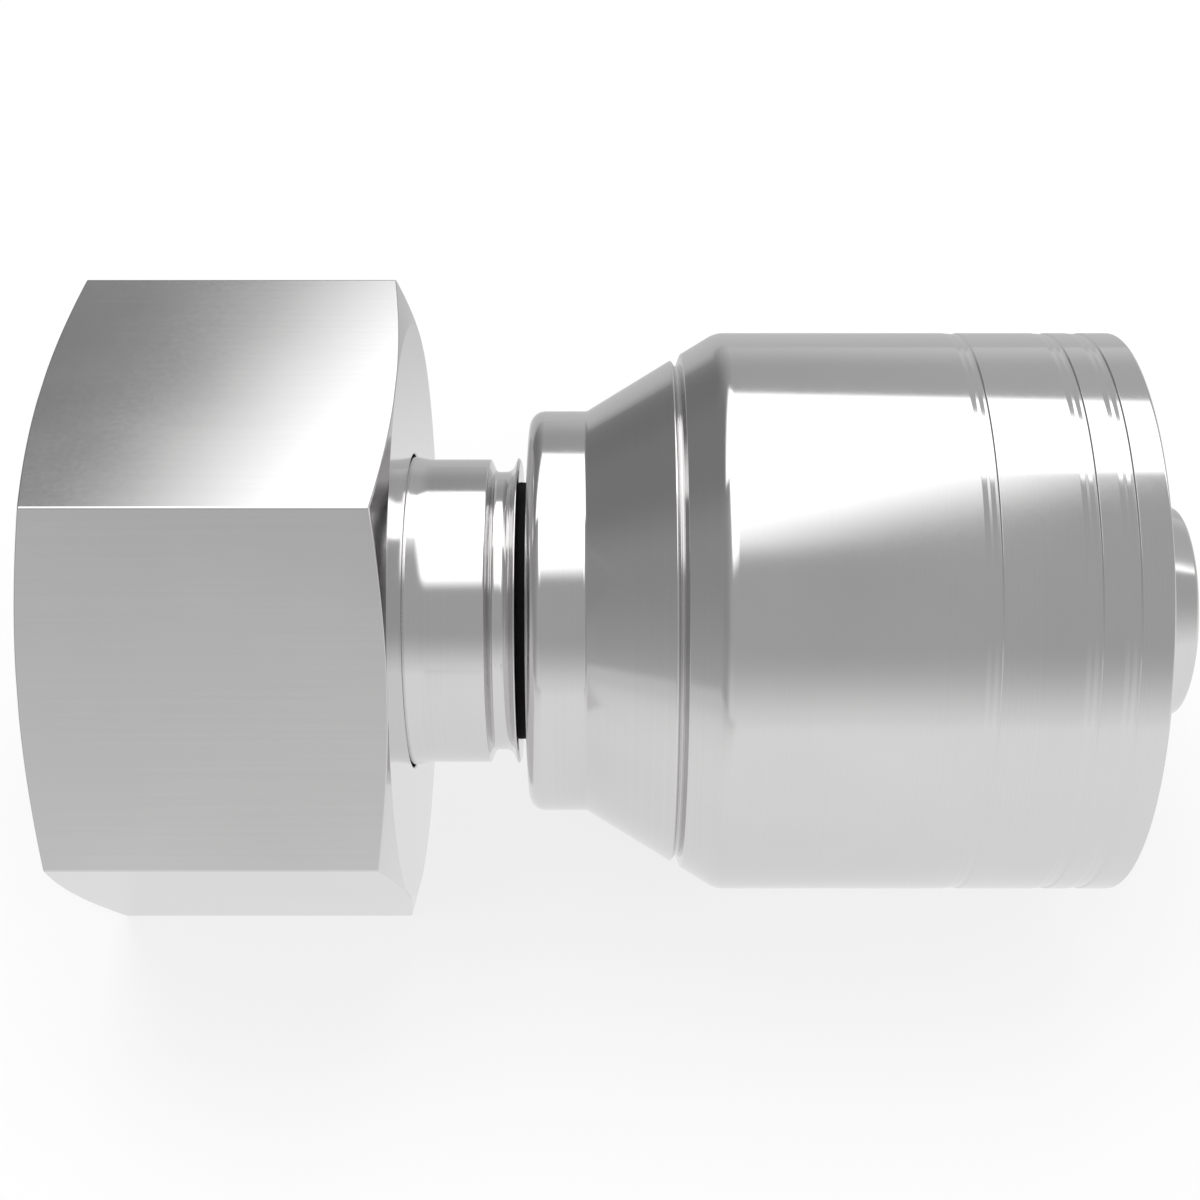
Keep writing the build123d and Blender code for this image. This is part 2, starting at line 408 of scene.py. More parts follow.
@dataclass(frozen=True)
class SteelFinish:
    """Bright plated steel with fine marks left by the machining under the plating.

    Attributes:
        name: The material's name.
        lay: Which way the marks run.
        light: Tone of the plating where it is brightest.
        dark: Tone of the plating where it is dullest.
        smooth: Roughness where the surface is smoothest.
        rough: Roughness where it is roughest.
        mark_pitch: Distance between marks.
        mark_depth: Depth of the marks, in thousandths of a millimetre.
        drawn_squeeze: How much drawn marks are squeezed along the axis.
        cloud_scale: Clouds of tone and roughness to a metre.
        grain_scale: Grains of roughness to a metre.
        cloud_in_tone: Share of the clouds in the tone; the marks have the rest.
        cloud_in_wear: Share of the clouds in the roughness; the grain has the rest.
        tone_range: How the tone follows clouds and marks.
        wear_range: Clouds and grain where the surface is smoothest, and roughest.
    """

    name: str
    lay: Lay
    light: Triple = (0.735, 0.728, 0.728)
    dark: Triple = (0.705, 0.697, 0.698)
    smooth: float = 0.1
    rough: float = 0.14
    mark_pitch: float = 0.16
    mark_depth: float = 0.12
    drawn_squeeze: float = 0.012
    cloud_scale: float = 70.0
    grain_scale: float = 2600.0
    cloud_in_tone: float = 0.7
    cloud_in_wear: float = 0.6
    tone_range: Ramp = Ramp(0.38, 0.62, course=Course.EVEN)
    wear_range: tuple[float, float] = (0.35, 0.65)

    def lay_place(self, book: NodeBook, place: Socket) -> Socket:
        """Coordinates in which the marks run.

        Turned marks read the station and the distance from the axis, so that they are circles
        on barrels, cones and end faces alike. Drawn marks read a place that is squeezed along
        the axis.

        Args:
            book: Node book of the material.
            place: Place on the piece, measured from a point on the axis.

        Returns:
            The socket with the coordinates.
        """
        if self.lay is Lay.CLOUDED:
            return place
        if self.lay is Lay.DRAWN:
            return book.vector("MULTIPLY", place, (self.drawn_squeeze, 1, 1)).outputs[0]
        across = book.vector("MULTIPLY", place, (0, 1, 1))
        from_axis = book.vector("LENGTH", across.outputs[0])
        along = book.parts(place)[0]
        inputs = {0: along, 1: from_axis.outputs["Value"]}
        return book.add("ShaderNodeCombineXYZ", inputs).outputs[0]

    def material(self, seat: Seat) -> bpy.types.Material:
        """Builds the material.

        Args:
            seat: Place of the fitting's axis.

        Returns:
            The material.
        """
        material, book = new_material(self.name)
        place = book.from_axis(seat)
        marks = book.noise(self.lay_place(book, place), 1 / (self.mark_pitch * MM), 3)
        clouds = book.noise(place, self.cloud_scale, 3)
        grain = book.noise(place, self.grain_scale, 2)
        share = book.follow(book.weigh(clouds, marks, self.cloud_in_tone), self.tone_range)
        worn = Ramp(*self.wear_range, self.smooth, self.rough, Course.EVEN)
        inputs = {
            "Base Color": book.blend(share, self.dark, self.light),
            "Roughness": book.follow(book.weigh(clouds, grain, self.cloud_in_wear), worn),
            "Normal": book.bump(marks, self.mark_depth),
            "Metallic": 1.0,
        }
        book.end(book.add("ShaderNodeBsdfPrincipled", inputs))
        return material


@dataclass(frozen=True)
class DullFinish:
    """Dark surface without metal's gloss, such as rubber, or a groove painted near black as painted
    shade.

    Attributes:
        name: The material's name.
        light: Lighter of its two tones.
        dark: Darker of its two tones.
        roughness: Roughness of the surface.
        grain_depth: Depth of its grain, in thousandths of a millimetre.
        cloud_scale: Clouds of tone to a metre.
        grain_scale: Grains to a metre.
        tone_range: How the tone follows the clouds.
    """

    name: str
    light: Triple
    dark: Triple
    roughness: float
    grain_depth: float = 2.0
    cloud_scale: float = 300.0
    grain_scale: float = 3500.0
    tone_range: Ramp = Ramp(0.35, 0.65, course=Course.EVEN)

    def material(self, seat: Seat) -> bpy.types.Material:
        """Builds the material.

        Args:
            seat: Place of the fitting's axis.

        Returns:
            The material.
        """
        material, book = new_material(self.name)
        place = book.from_axis(seat)
        share = book.follow(book.noise(place, self.cloud_scale, 3), self.tone_range)
        grain = book.noise(place, self.grain_scale, 2)
        inputs = {
            "Base Color": book.blend(share, self.dark, self.light),
            "Roughness": self.roughness,
            "Normal": book.bump(grain, self.grain_depth),
        }
        book.end(book.add("ShaderNodeBsdfPrincipled", inputs))
        return material


TURNED_STEEL = SteelFinish("turned_steel", Lay.TURNED)
DRAWN_STEEL = SteelFinish("drawn_steel", Lay.DRAWN, mark_pitch=0.3, mark_depth=0.04)
CUT_STEEL = SteelFinish("cut_steel", Lay.TURNED, smooth=0.22, rough=0.32, mark_depth=0.8)
BORED_STEEL = SteelFinish(
    "bored_steel",
    Lay.CLOUDED,
    light=(0.62, 0.61, 0.6),
    dark=(0.5, 0.49, 0.48),
    smooth=0.28,
    rough=0.4,
    mark_depth=0.6,
)
# Painted shade: near black for the floor of the stem's narrow locking groove, where shade falls
# between the staking ridge and the collar
PAINTED_SHADE_GROOVE = DullFinish("painted_shade_groove", (0.006, 0.006, 0.006), (0.003, 0.003, 0.003), 0.85)
SEAL_RUBBER = DullFinish("seal_rubber", (0.034, 0.034, 0.036), (0.022, 0.022, 0.024), 0.5)


def dress(
    piece: bpy.types.Object,
    finishes: Sequence[SteelFinish | DullFinish],
    seat: Seat,
    node: str,
    body: str,
) -> None:
    """Gives a piece its materials and its place in the frame.

    Args:
        piece: The finished piece.
        finishes: One finish for each material slot of its mesh.
        seat: Place of the fitting's axis.
        node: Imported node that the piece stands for.
        body: Body that it moves with.
    """
    for finish in finishes:
        ready = bpy.data.materials.get(finish.name) or finish.material(seat)
        piece.data.materials.append(ready)
    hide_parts(node)
    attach(piece, body)
    LOG.info("%s: %d faces, rides on %s", piece.name, len(piece.data.polygons), body)


# Pieces


class StemSlot(IntEnum):
    """Material slots of the stem."""

    TURNED = 0
    # Slot of the locking groove's floor, painted near black as painted shade
    BLACK = 1
    BORED = 2


class ShellSlot(IntEnum):
    """Material slots of the shell."""

    TURNED = 0
    BORED = 1


class NutSlot(IntEnum):
    """Material slots of the nut."""

    TURNED = 0
    DRAWN = 1
    CUT = 2


@dataclass(frozen=True)
class Stem:
    """Turned stem: sealing cone, shoulder, neck, staking grooves and barbed nipple."""

    nose_tip: float = -30.45
    nose_chamfer: float = 0.5
    cone_base: float = -18.95
    cone_base_radius: float = 14.2
    cone_half_angle: float = 12.0
    seal_station: float = -27.15
    seal_groove_half_width: float = 1.65
    seal_groove_radius: float = 10.287
    shoulder_radius: float = 15.3
    shoulder_top: float = -16.75
    shoulder_foot: float = -13.85
    land_radius: float = 12.4
    land_end: float = -9.1
    flare_end: float = -8.0
    flare_rounding: float = 5.0
    neck_radius: float = 12.2
    neck_end: float = -3.15
    neck_end_rounding: float = 0.15
    relief_radius: float = 11.2
    relief_front: float = -2.73
    relief_rear: float = -1.45
    relief_front_rounding: float = 0.4
    relief_rear_rounding: float = 0.8
    crest_radius: float = 12.3
    crest_front: float = -0.98
    crest_rear: float = -0.88
    ridge_rear: float = -0.75
    ridge_rear_radius: float = 12.05
    lock_groove_radius: float = 10.35
    lock_collar_front: float = 4.0
    lock_collar_rear: float = 6.4
    lock_collar_radius: float = 11.8
    nipple_start: float = 8.4
    nipple_radius: float = 9.65
    barbs_start: float = 10.0
    barbs_end: float = 40.85
    barb_count: int = 7
    barb_depth: float = 0.65
    barb_rounding: float = 0.08
    tail_taper: float = 48.25
    tail_tip: float = 51.65
    tail_tip_radius: float = 8.3
    tail_rounding: float = 0.4
    tail_chamfer: float = 0.4
    bore_radius: float = 7.3
    nose_bore_radius: float = 8.25
    nose_bore_end: float = -8.45
    drill_point: float = 0.571

    def cone_radius(self, station: float) -> float:
        """Radius of the sealing cone at a station."""
        slope = math.tan(math.radians(self.cone_half_angle))
        return self.cone_base_radius - (self.cone_base - station) * slope

    def front_corners(self) -> list[Corner]:
        """Corners of the sealing cone, its groove and the shoulder."""
        groove_front = self.seal_station - self.seal_groove_half_width
        groove_rear = self.seal_station + self.seal_groove_half_width
        return [
            Corner(self.nose_tip, self.nose_bore_radius + self.nose_chamfer),
            Corner(self.nose_tip, self.cone_radius(self.nose_tip), ROUND),
            Corner(groove_front, self.cone_radius(groove_front)),
            Corner(groove_front, self.seal_groove_radius, FINE),
            Corner(groove_rear, self.seal_groove_radius, FINE),
            Corner(groove_rear, self.cone_radius(groove_rear)),
            Corner(self.cone_base, self.cone_base_radius, SOFT),
            Corner(self.cone_base, self.shoulder_radius, EASY),
            Corner(self.shoulder_top, self.shoulder_radius, EASY),
            Corner(self.shoulder_foot, self.land_radius, SOFT),
        ]

    def neck_corners(self) -> list[Corner]:
        """Corners of the neck, its relief groove, the staking ridge and the collar."""
        return [
            Corner(self.land_end, self.land_radius, EASY),
            Corner(self.flare_end, self.neck_radius, self.flare_rounding),
            Corner(self.neck_end, self.neck_radius, self.neck_end_rounding),
            Corner(self.relief_front, self.relief_radius, self.relief_front_rounding),
            Corner(self.relief_rear, self.relief_radius, self.relief_rear_rounding),
            Corner(self.crest_front, self.crest_radius, CRISP),
            Corner(self.crest_rear, self.crest_radius, CRISP),
            Corner(self.ridge_rear, self.ridge_rear_radius, CRISP),
            # The locking groove's floor, from here to the collar, takes the near-black painted shade
            Corner(self.ridge_rear, self.lock_groove_radius, CRISP, StemSlot.BLACK),
            Corner(self.lock_collar_front, self.lock_groove_radius, CRISP),
            Corner(self.lock_collar_front, self.lock_collar_radius, BLUNT),
            Corner(self.lock_collar_rear, self.lock_collar_radius, BLUNT),
            Corner(self.nipple_start, self.nipple_radius, ROUND),
        ]

    def tail_corners(self) -> list[Corner]:
        """Corners of the barbs, the tail's taper and the bore."""
        bored = StemSlot.BORED
        pitch = (self.barbs_end - self.barbs_start) / self.barb_count
        corners = [Corner(self.barbs_start, self.nipple_radius, CRISP)]
        for number in range(1, self.barb_count + 1):
            steep_face = self.barbs_start + number * pitch
            corners += [
                Corner(steep_face, self.nipple_radius - self.barb_depth, self.barb_rounding),
                Corner(steep_face, self.nipple_radius, CRISP),
            ]
        return corners + [
            Corner(self.tail_taper, self.nipple_radius, self.tail_rounding),
            Corner(self.tail_tip, self.tail_tip_radius, self.tail_rounding),
            Corner(self.tail_tip, self.bore_radius + self.tail_chamfer, CRISP, bored),
            Corner(self.tail_tip - self.tail_chamfer, self.bore_radius, BLUNT, bored),
            Corner(self.nose_bore_end + self.drill_point, self.bore_radius, CRISP, bored),
            Corner(self.nose_bore_end, self.nose_bore_radius, CRISP, bored),
            Corner(self.nose_tip + self.nose_chamfer, self.nose_bore_radius, BLUNT, bored),
        ]

    def build(self, seat: Seat) -> None:
        """Turns the stem's outline about the axis.

        Args:
            seat: Place of the fitting's axis.
        """
        corners = self.front_corners() + self.neck_corners() + self.tail_corners()
        section = rounded_outline(corners)
        piece = ring_surface("turned_stem", section, even_angles(TURNED_COLUMNS), seat)
        finishes = (TURNED_STEEL, PAINTED_SHADE_GROOVE, BORED_STEEL)
        dress(piece, finishes, seat, "stem", "hose_end")


@dataclass(frozen=True)
class ORing:
    """Seal in the groove of the sealing cone."""

    station: float = -27.15
    centre_radius: float = 11.557
    section_radius: float = 1.245
    section_points: int = 40

    def build(self, seat: Seat) -> None:
        """Carries a circle round the axis.

        A point at the angle b of the circle lies at the station s0 + r cos(b) and at the
        radius c + r sin(b), with the section radius r and the centre radius c.

        Args:
            seat: Place of the fitting's axis.
        """
        around = even_angles(self.section_points)[:, None]
        section = Section(
            self.station + self.section_radius * np.cos(around),
            self.centre_radius + self.section_radius * np.sin(around),
            np.zeros(around.size, dtype=int),
        )
        piece = ring_surface("sealing_ring", section, even_angles(SEAL_COLUMNS), seat)
        dress(piece, (SEAL_RUBBER,), seat, "o_ring", "hose_end")


@dataclass(frozen=True)
class CrimpShell:
    """Stepped shell that is crimped onto the hose, with turned marks outside.

    A row of barrel_mark_shape is a corner of a mark: its place from the mark's middle, its
    depth under the barrel, and its rounding.
    """

    length: float = 45.9
    radius: float = 22.25
    neck_radius: float = 16.05
    neck_length: float = 4.5
    cone_angle: float = 31.3
    front_rounding: float = 1.2
    inner_corner_rounding: float = 0.5
    cone_rounding: float = 2.3
    rim_rounding: float = 0.2
    cone_mark: float = 11.556
    cone_mark_half_width: float = 0.39
    cone_mark_depth: float = 0.7
    cone_mark_half_floor: float = 0.0624
    barrel_marks: tuple[float, ...] = (33.25, 40.25, 42.95)
    barrel_mark_shape: tuple[Triple, ...] = (
        (-0.6, 0.0, 0.4),
        (-0.24, 0.05, 0.3),
        (-0.02, 0.05, 0.3),
        (0.3, 0.1, 0.2),
        (0.504, 0.1, 0.02),
        (0.6, 0.0, 0.04),
    )
    lip_radius: float = 10.4
    lip_thickness: float = 4.0
    cavity_radius: float = 12.8
    cavity_end: float = 7.0
    socket_start: float = 15.0
    socket_radius: float = 17.5
    mouth_length: float = 1.6
    mouth_depth: float = 1.0
    tooth_count: int = 5
    tooth_radius: float = 16.7
    tooth_crest: float = 0.7
    tooth_foot: float = 1.5

    def cone_radius(self, station: float) -> float:
        """Radius of the outer cone at a station."""
        slope = math.tan(math.radians(self.cone_angle))
        return self.neck_radius + (station - self.neck_length) * slope

    def cone_end(self) -> float:
        """Station where the cone meets the barrel."""
        slope = math.tan(math.radians(self.cone_angle))
        return self.neck_length + (self.radius - self.neck_radius) / slope

    def cone_mark_corners(self) -> list[Corner]:
        """Corners of the sharp groove in the outer cone."""
        edge = (self.cone_mark_half_width, 0.0, FINE)
        floor = (self.cone_mark_half_floor, self.cone_mark_depth, CRISP)
        corners = []
        for side, (half, cut, arc) in ((-1, edge), (-1, floor), (1, floor), (1, edge)):
            station = self.cone_mark + side * half
            corners.append(Corner(station, self.cone_radius(station) - cut, arc))
        return corners

    def outside(self) -> list[Corner]:
        """Corners of the outer surface, from the front face to the rim."""
        corners = [
            Corner(0, self.neck_radius, self.front_rounding),
            Corner(self.neck_length, self.neck_radius, self.inner_corner_rounding),
        ]
        corners += self.cone_mark_corners()
        corners.append(Corner(self.cone_end(), self.radius, self.cone_rounding))
        for station in self.barrel_marks:
            corners += [
                Corner(station + ahead, self.radius - cut, arc)
                for ahead, cut, arc in self.barrel_mark_shape
            ]
        corners.append(Corner(self.length, self.radius, self.rim_rounding))
        return corners

    def inside(self) -> list[Corner]:
        """Corners of the inner surface, from the mouth over the teeth to the lip."""
        bored = ShellSlot.BORED
        socket_end = self.length - self.mouth_length
        pitch = (socket_end - self.socket_start) / self.tooth_count
        corners = [
            Corner(self.length, self.socket_radius + self.mouth_depth, BLUNT, bored),
            Corner(socket_end, self.socket_radius, SOFT, bored),
        ]
        for number in range(self.tooth_count):
            middle = socket_end - (number + 0.5) * pitch
            corners += [
                Corner(middle + self.tooth_foot, self.socket_radius, FINE, bored),
                Corner(middle + self.tooth_crest, self.tooth_radius, BLUNT, bored),
                Corner(middle - self.tooth_crest, self.tooth_radius, BLUNT, bored),
                Corner(middle - self.tooth_foot, self.socket_radius, FINE, bored),
            ]
        return corners + [
            Corner(self.socket_start, self.socket_radius, ROUND, bored),
            Corner(self.cavity_end, self.cavity_radius, ROUND, bored),
            Corner(self.lip_thickness, self.cavity_radius, EASY, bored),
            Corner(self.lip_thickness, self.lip_radius, BLUNT, bored),
            Corner(0, self.lip_radius, BLUNT),
        ]

    def build(self, seat: Seat) -> None:
        """Turns the shell's outline about the axis.

        Args:
            seat: Place of the fitting's axis.
        """
        section = rounded_outline(self.outside() + self.inside())
        piece = ring_surface("crimp_sleeve", section, even_angles(TURNED_COLUMNS), seat)
        dress(piece, (TURNED_STEEL, BORED_STEEL), seat, "crimp_shell", "hose_end")


@dataclass(frozen=True)
class UnionNut:
    """Hexagonal swivel nut with turned ends and an M36x2 thread inside."""

    apothem: float = 23.0
    rear: float = -9.3
    front: float = -35.2
    corner_rounding: float = 0.18
    edge_break: float = 0.1
    chamfer_ring: float = 22.97
    chamfer_angle: float = 15.0
    bore_radius: float = 12.65
    seat_start: float = -13.8
    seat_end: float = -18.0675
    thread_minor: float = 16.9175
    thread_depth: float = 1.0825
    thread_pitch: float = 2.0
    thread_gap: float = 1.5
    thread_runout: float = 3.0
    entry_radius: float = 18.3
    face_radius: float = 20.0
    mouth_gap: float = 0.04
    row_step: float = 0.14
    flat_columns: int = 31
    flat_margin: float = 0.0012

    def rim(self) -> tuple[np.ndarray, np.ndarray]:
        """Hexagon with rounded corners, as angles and distances from the axis.

        A flat stands at the apothem a from the axis and runs to (a - q) tan(30) on both sides,
        with the rounding q. The arc after it has its centre at (a - q, (a - q) tan(30)). The
        sector is turned by 60 degrees six times, and the first flat faces 30 degrees.

        Returns:
            The angle and the distance of each column.
        """
        inner = self.apothem - self.corner_rounding
        half = inner * math.tan(math.radians(30))
        spread = math.atan(half / self.apothem)
        inside = np.linspace(-1, 1, self.flat_columns) * (spread - self.flat_margin)
        flat = self.apothem + 1j * self.apothem * np.tan(inside)
        ends = self.apothem + 1j * np.array([-half, half])
        turns = np.radians(60) * np.linspace(0, 1, 6)[1:-1]
        arc = inner + 1j * half + self.corner_rounding * np.exp(1j * turns)
        sector = np.concatenate((ends[:1], flat, ends[1:], arc))
        facing = np.radians(30 + 60 * np.arange(6))
        outline = (sector[None, :] * np.exp(1j * facing)[:, None]).reshape(-1)
        return np.unwrap(np.angle(outline)), np.abs(outline)

    def end_rows(self, rim: np.ndarray) -> tuple[np.ndarray, np.ndarray, np.ndarray]:
        """Rows from an end face over the chamfer to the flats.

        With the edge break q, the chamfer's slope b and the chamfer's ring c, the first arc's
        centre lies q under the end face at the radius c - q tan(b / 2), and the second one's
        at the rim less q, at the depth (q + sin(b) (rim - q - c)) / cos(b).

        Args:
            rim: Distance of the hexagon from the axis at each column.

        Returns:
            Depth under the end face, radius, and finish of each row.
        """
        slope = math.radians(self.chamfer_angle)
        edge = self.edge_break
        outer = rim - edge
        inner = np.minimum(self.chamfer_ring - edge * math.tan(slope / 2), outer)
        fall = (edge + math.sin(slope) * (outer - self.chamfer_ring)) / math.cos(slope)
        fall = np.maximum(fall, edge)
        first = slope * np.linspace(0, 1, 3)[:, None]
        second = slope + (math.pi / 2 - slope) * np.linspace(0, 1, 5)[:, None]
        first_rows = (edge - edge * np.cos(first) + 0 * rim, inner + edge * np.sin(first))
        second_rows = (fall - edge * np.cos(second), outer + edge * np.sin(second))
        share = np.array([BETWEEN, 1 - BETWEEN])[:, None]
        between = [
            start[-1] + share * (finish[0] - start[-1])
            for start, finish in zip(first_rows, second_rows)
        ]
        support = np.full_like(rim, SUPPORT)[None, :]
        depth = np.concatenate(
            (0 * support, first_rows[0], between[0], second_rows[0], fall[None, :] + support)
        )
        radius = np.concatenate(
            (inner[None, :] - support, first_rows[1], between[1], second_rows[1], rim[None, :])
        )
        finish = np.full(depth.shape[0], NutSlot.TURNED)
        finish[-2:] = NutSlot.DRAWN
        return depth, radius, finish

    def thread_rows(self, angles: np.ndarray) -> tuple[np.ndarray, np.ndarray]:
        """Rows of the threaded hole, from its seat end to the front face.

        The right-hand thread's phase is station / pitch - angle / 360 degrees. The groove's
        floor is an eighth of the pitch wide, its flanks stand 30 degrees off the cross
        section, and its depth fades out towards the seat. The hole is whichever is wider, the
        thread or the 45 degree entry.

        Args:
            angles: Angle of each column.

        Returns:
            Station and radius of each row.
        """
        count = int((self.seat_end - self.front) / self.row_step)
        first, last = self.seat_end - CRISP, self.front + self.mouth_gap
        station = np.linspace(first, last, count)[:, None]
        phase = (station / self.thread_pitch - angles / math.tau) % 1.0
        from_middle = np.abs(phase - 0.5)
        groove = np.clip((GROOVE_HALF - from_middle) / GROOVE_FLANK, 0, 1)
        fade = np.clip((self.seat_end - self.thread_gap - station) / self.thread_runout, 0, 1)
        threaded = self.thread_minor + self.thread_depth * groove * fade
        entry = self.entry_radius - (station - self.front)
        return station + 0 * angles, np.maximum(threaded, entry)

    def build(self, seat: Seat) -> None:
        """Joins the rows of the hole, both ends and the flats into one closed surface.

        Args:
            seat: Place of the fitting's axis.
        """
        angles, rim = self.rim()
        corners = [
            Corner(self.rear, self.face_radius),
            Corner(self.rear, self.bore_radius, FINE, NutSlot.CUT),
            Corner(self.seat_start, self.bore_radius, SOFT, NutSlot.CUT),
            Corner(self.seat_end, self.thread_minor, SOFT, NutSlot.CUT),
            Corner(self.front, self.thread_minor, BLUNT, NutSlot.CUT),
            Corner(self.front, self.face_radius),
        ]
        hole = rounded_outline(corners)
        per_corner = hole.finish.size // len(corners)
        kept = slice(per_corner, 4 * per_corner)
        thread_station, thread_radius = self.thread_rows(angles)
        threaded = np.full(thread_station.shape[0], NutSlot.CUT)
        mouth = np.array([0.0, self.mouth_gap])[:, None]
        depth, radius, finish = self.end_rows(rim)
        stations, radii, slots = zip(
            (hole.station[kept], hole.radius[kept], hole.finish[kept]),
            (thread_station, thread_radius, threaded),
            (self.front + 0 * mouth, self.entry_radius + mouth, np.full(mouth.size, NutSlot.TURNED)),
            (self.front + depth, radius, finish),
            ((self.rear - depth)[::-1], radius[::-1], np.roll(finish[::-1], -1)),
        )
        section = Section(
            np.concatenate([rows + 0 * rim for rows in stations]),
            np.concatenate([rows + 0 * rim for rows in radii]),
            np.concatenate(slots),
        )
        section.finish[-1] = NutSlot.TURNED
        piece = ring_surface("swivel_nut", section, angles, seat)
        finishes = (TURNED_STEEL, DRAWN_STEEL, CUT_STEEL)
        dress(piece, finishes, seat, "union_nut", "nut")


# Studio


@dataclass(frozen=True)
class Edge:
    """Straight edge of a soft box, as seen from the fitting.

    Directions are given by two angles: round the X axis, from the front (0) over the top (90)
    to the back (180), and to the right of the plane across the axis.

    Attributes:
        start: Round and right angle of one end, in degrees.
        finish: The same of the other end.
        softness: Width of the edge, in radians.
    """

    start: tuple[float, float]
    finish: tuple[float, float]
    softness: float = 0.04

    def normal(self) -> Vector:
        """Unit vector square to the edge's plane, the way that finish x start points: lit."""
        return direction(*self.finish).cross(direction(*self.start)).normalized()


def direction(around: float, right: float) -> Vector:
    """Unit vector for an angle round the X axis and one to the right, in degrees."""
    a, r = math.radians(around), math.radians(right)
    return Vector((math.sin(r), -math.cos(r) * math.cos(a), math.cos(r) * math.sin(a)))


@dataclass(frozen=True)
class SoftBox:
    """Bright window of the studio, bounded by straight edges.

    Attributes:
        edges: Its edges.
        level: Brightness, where 1 is white.
    """

    edges: tuple[Edge, ...]
    level: float


@dataclass(frozen=True)
class Lamp:
    """Soft square lamp.

    Attributes:
        name: The lamp's name.
        place: Where it hangs.
        size: Length of its sides.
        power: Its power, in watts.
    """

    name: str
    place: Triple
    size: float
    power: float

    def build(self, aim_height: float) -> None:
        """Hangs the lamp, turned to a point over the frame's origin.

        Args:
            aim_height: Height of that point.
        """
        data = bpy.data.lights.new(self.name, "AREA")
        data.size = self.size
        data.energy = self.power
        lamp = bpy.data.objects.new(self.name, data)
        aim = Vector((0, 0, aim_height)) - Vector(self.place)
        turn = aim.to_track_quat("-Z", "Y").to_matrix().to_4x4()
        lamp.matrix_world = Matrix.Translation(self.place) @ turn
        lamp.visible_glossy = False
        bpy.context.collection.objects.link(lamp)


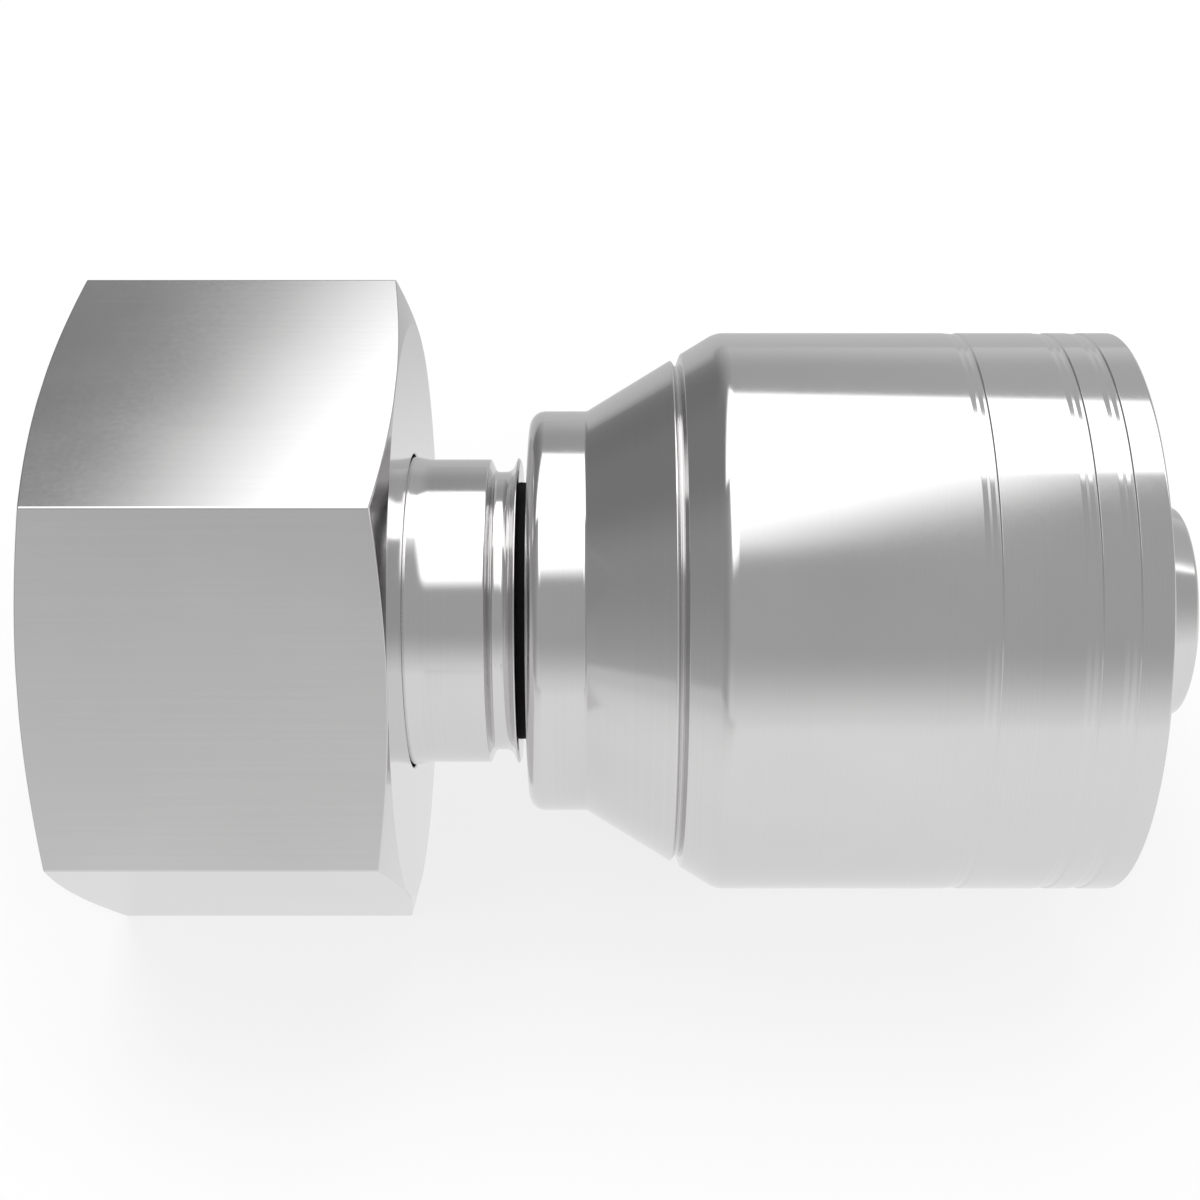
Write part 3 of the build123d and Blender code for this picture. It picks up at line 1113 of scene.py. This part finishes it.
@dataclass(frozen=True)
class Studio:
    """Pale floor, white background, soft boxes and the camera of the photograph.

    Levels of light have 1 for white. Ramps of the sky read the parts of a unit direction, and
    ramps of the floor read metres.
    """

    lens: float = 60.63
    sensor_width: float = 36.0
    nearest: float = 0.005
    farthest: float = 50.0
    elevation: float = 44.37
    distance: float = 0.1635
    camera_x: float = -0.002655
    camera_rise: float = 0.000854
    floor_reach: float = 3.0
    floor_drop: float = 0.0001
    floor_tone: float = 0.86
    paint_seen: float = 0.25
    paint_mirrored: float = 0.1
    # Painted light and shade of the floor as metal mirrors it: its emitted tone falls towards the back
    # and towards the left
    mirrored_floor_back_shade: Ramp = Ramp(0.025, 0.085, 0.88, 0.52)
    mirrored_floor_left_shade: Ramp = Ramp(-0.01, -0.24, 1.0, 0.72, Course.EVEN)
    fill_level: float = 0.75
    front_sky: Ramp = Ramp(-0.1, 0.5, 0.86, 0.44)
    back_sky: Ramp = Ramp(-0.05, 0.35, 0.55, 0.4)
    back_rightwards: Ramp = Ramp(-0.25, 0.25, 0.8, 1.25)
    turn_to_back: Ramp = Ramp(-0.1, 0.35)
    back_shift: float = 0.25
    turn_to_left: Ramp = Ramp(-0.35, -0.67)
    left_dimming: Ramp = Ramp(0.1, 0.5, 0.45, 0.28)
    aim_height: float = 0.023
    lamps: tuple[Lamp, ...] = (
        Lamp("top_lamp", (-0.1, 0.25, 0.7), 0.7, 3.0),
        Lamp("front_lamp", (0.3, -0.6, 0.5), 0.5, 1.2),
    )
    boxes: tuple[SoftBox, ...] = (
        SoftBox(
            (
                Edge((146.5, -6.0), (138.3, 13.0), 0.03),
                Edge((101.0, 12.0), (101.0, -12.0)),
                Edge((138.0, -11.5), (144.0, -6.5), 0.13),
            ),
            1.9,
        ),
        SoftBox(
            (
                Edge((66.0, 2.0), (64.0, -10.0), 0.22),
                Edge((94.0, 10.5), (72.0, 4.0), 0.2),
                Edge((110.0, -12.0), (110.0, 12.0), 0.1),
                Edge((70.0, -20.0), (110.0, -20.0), 0.1),
            ),
            1.9,
        ),
        SoftBox(
            (
                Edge((18.0, 40.0), (18.0, 10.0), 0.15),
                Edge((150.0, 21.0), (30.0, 21.0), 0.14),
                Edge((30.0, 38.0), (150.0, 38.0), 0.1),
                Edge((152.0, 10.0), (152.0, 40.0), 0.15),
            ),
            1.7,
        ),
        SoftBox(
            (
                Edge((128.5, 60.0), (128.5, 30.0), 0.02),
                Edge((141.0, 30.0), (141.0, 60.0), 0.02),
                Edge((140.0, 44.0), (130.0, 44.0), 0.02),
                Edge((130.0, 52.0), (140.0, 52.0), 0.02),
            ),
            2.0,
        ),
    )

    def camera(self, seat: Seat) -> None:
        """Camera at the photograph's place and angle.

        Args:
            seat: Place of the fitting's axis.
        """
        tilt = math.radians(self.elevation)
        toward = Vector((0, math.cos(tilt), -math.sin(tilt)))
        upward = Vector((0, math.sin(tilt), math.cos(tilt)))
        data = bpy.data.cameras.new("camera")
        data.sensor_width = self.sensor_width
        data.lens = self.lens
        data.clip_start = self.nearest
        data.clip_end = self.farthest
        camera = bpy.data.objects.new("camera", data)
        camera.location = (
            Vector((self.camera_x, 0, seat.height))
            - toward * self.distance
            + upward * self.camera_rise
        )
        camera.rotation_euler = (math.pi / 2 - tilt, 0, 0)
        bpy.context.collection.objects.link(camera)
        bpy.context.scene.camera = camera

    def floor(self) -> None:
        """Plain pale floor that keeps the fitting's shadow."""
        corners = np.array([(-1, -1), (1, -1), (1, 1), (-1, 1)]) * self.floor_reach
        places = np.column_stack((corners, np.full(4, -self.floor_drop)))
        mesh = bpy.data.meshes.new("floor")
        mesh.from_pydata(places.tolist(), [], [(0, 1, 2, 3)])
        floor = bpy.data.objects.new("floor", mesh)
        bpy.context.collection.objects.link(floor)

        material, book = new_material("pale_floor")
        right, back, _ = book.parts(book.add("ShaderNodeTexCoord").outputs["Object"])
        tone = self.floor_tone
        paint = book.add("ShaderNodeBsdfDiffuse", {0: (tone, tone, tone, 1)})
        seen = book.white_light("ShaderNodeEmission", 1.0)
        far = book.follow(back, self.mirrored_floor_back_shade)
        left = book.follow(right, self.mirrored_floor_left_shade)
        # Painted light: metal sees the floor glow, painted darker towards the back and the left, as if
        # less light fell there
        painted_floor_light = book.white_light("ShaderNodeEmission", book.math("MULTIPLY", far, left))
        for_camera = book.choose(self.paint_seen, seen, paint)
        for_metal = book.choose(self.paint_mirrored, painted_floor_light, paint)
        book.finish_by_ray(paint, for_metal, for_camera)
        mesh.materials.append(material)

    def window(self, book: NodeBook, way: Socket, box: SoftBox) -> Socket:
        """How much of a soft box is seen in a direction.

        The share is the product, over the box's edges, of a smooth step in the dot product of
        the direction and the edge's normal.

        Args:
            book: Node book of the world.
            way: Socket with the direction.
            box: The soft box.

        Returns:
            Socket with the share, from 0 to 1.
        """
        share = None
        for edge in box.edges:
            dot = book.vector("DOT_PRODUCT", way, tuple(edge.normal())).outputs["Value"]
            step = book.follow(dot, Ramp(-edge.softness / 2, edge.softness / 2))
            share = step if share is None else book.math("MULTIPLY", share, step)
        return share

    def sky(self, book: NodeBook, way: Socket) -> Socket:
        """Brightness of the studio in a direction, as polished metal shows it.

        White at the horizon in front and fading to grey overhead, duller behind and to the
        left, with the soft boxes on top.

        Args:
            book: Node book of the world.
            way: Socket with the direction.

        Returns:
            Socket with the brightness.
        """
        right, back, height = book.parts(way)
        front = book.follow(height, self.front_sky)
        rear = book.follow(height, self.back_sky)
        across = book.follow(right, self.back_rightwards)
        behind = book.follow(back, self.turn_to_back)
        open_sky = book.between(behind, front, book.math("MULTIPLY", rear, across))
        reach = book.math("SUBTRACT", right, book.math("MULTIPLY", behind, self.back_shift))
        left = book.follow(reach, self.turn_to_left)
        dimming = book.follow(height, self.left_dimming)
        kept = book.math("SUBTRACT", 1.0, book.math("MULTIPLY", left, dimming))
        level = book.math("MULTIPLY", open_sky, kept)
        for box in self.boxes:
            level = book.between(self.window(book, way, box), level, box.level)
        return level

    def world(self) -> None:
        """White background, the studio that metal shows, and plain fill light."""
        world = bpy.data.worlds.new("studio")
        bpy.context.scene.world = world
        world.use_nodes = True
        book = NodeBook(world.node_tree, "ShaderNodeOutputWorld")
        way = book.add("ShaderNodeTexCoord").outputs["Generated"]
        fill = book.white_light("ShaderNodeBackground", self.fill_level)
        studio = book.white_light("ShaderNodeBackground", self.sky(book, way))
        white = book.white_light("ShaderNodeBackground", 1.0)
        book.finish_by_ray(fill, studio, white)

    def build(self, seat: Seat) -> None:
        """Makes the camera, floor, world and lamps.

        Args:
            seat: Place of the fitting's axis.
        """
        self.camera(seat)
        self.floor()
        self.world()
        for lamp in self.lamps:
            lamp.build(self.aim_height)
        bpy.context.scene.view_settings.view_transform = "Standard"
        LOG.info("studio: floor, world, camera and %d lamps", len(self.lamps))


def main() -> None:
    logging.basicConfig(level=logging.INFO, format="%(name)s %(message)s")
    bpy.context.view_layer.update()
    seat = Seat.from_nodes()
    Studio().build(seat)
    for piece in (Stem(), ORing(), CrimpShell(), UnionNut()):
        piece.build(seat)


if __name__ == "__main__":
    main()
